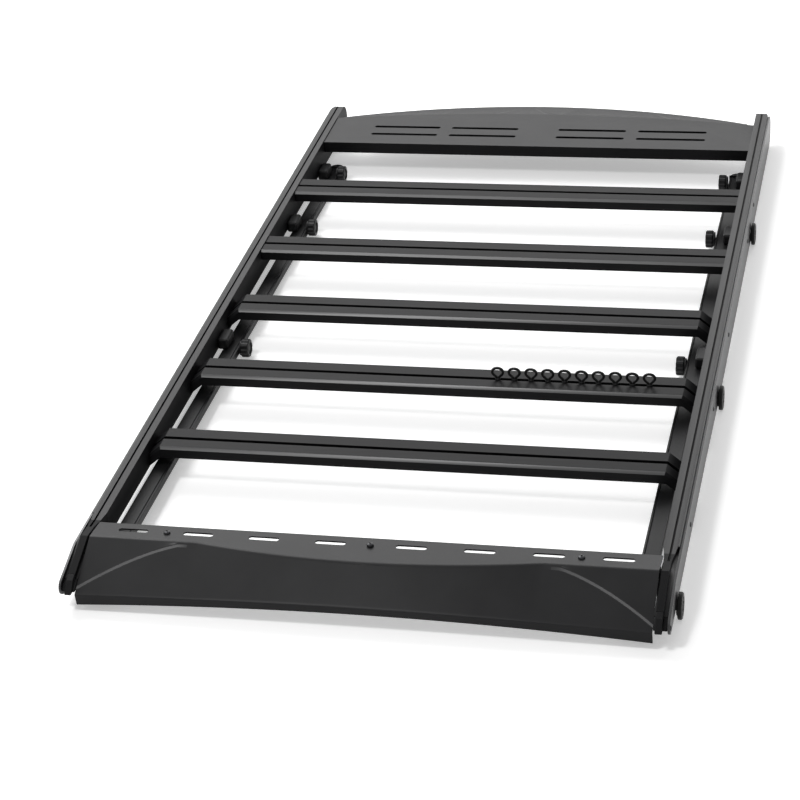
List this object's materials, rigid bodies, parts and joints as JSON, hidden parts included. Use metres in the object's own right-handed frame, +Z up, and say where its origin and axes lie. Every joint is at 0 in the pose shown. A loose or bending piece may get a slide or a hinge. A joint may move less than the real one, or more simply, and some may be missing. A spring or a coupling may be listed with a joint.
{
  "type": "flat platform roof rack",
  "caption": "Flat vehicle roof platform: side rails with outer plates, slotted crossbars, slotted rear plate, wind fairing, clamp bars and eye bolts.",
  "frame": {"origin": "on the ground under the middle of the rack's box", "axes": "+X to the right seen from behind the fairing looking rearwards, +Y to the rear, +Z up"},
  "size_m": [1.096, 2.075, 0.109],
  "materials": {
    "frame_coat": "black powder coat on aluminium",
    "bar_coat": "black powder coat on aluminium",
    "sheet_coat": "black powder coat on sheet aluminium",
    "fairing_coat": "black powder coat on sheet aluminium",
    "clamp_coat": "black powder coat on aluminium",
    "trim": "black powder coat on aluminium",
    "disc_coat": "black coated aluminium",
    "cap_plastic": "moulded black plastic",
    "knob_plastic": "moulded black plastic",
    "eye_steel": "black coated steel"
  },
  "bodies": {
    "root": {"side_rail_left": "frame_coat", "side_rail_right": "frame_coat", "side_plate_left": "frame_coat", "side_plate_right": "frame_coat", "trim_left": "trim", "trim_right": "trim", "nose_cap_left": "cap_plastic", "nose_cap_right": "cap_plastic", "crossbar_1": "bar_coat", "crossbar_2": "bar_coat", "crossbar_3": "bar_coat", "crossbar_4": "bar_coat", "crossbar_5": "bar_coat", "rear_plate": "sheet_coat", "fairing": "fairing_coat", "front_beam": "bar_coat", "clamp_bar_left": "clamp_coat", "clamp_bar_right": "clamp_coat", "bar_cap_left": "cap_plastic", "bar_cap_right": "cap_plastic", "feet_left": "clamp_coat", "feet_right": "clamp_coat", "knobs_left": "knob_plastic", "knobs_right": "knob_plastic", "discs_left": "disc_coat", "discs_right": "disc_coat", "eye_bolt_1": "eye_steel", "eye_bolt_2": "eye_steel", "eye_bolt_3": "eye_steel", "eye_bolt_4": "eye_steel", "eye_bolt_5": "eye_steel", "eye_bolt_6": "eye_steel", "eye_bolt_7": "eye_steel", "eye_bolt_8": "eye_steel", "eye_bolt_9": "eye_steel", "eye_bolt_10": "eye_steel"}
  },
  "joints": []
}
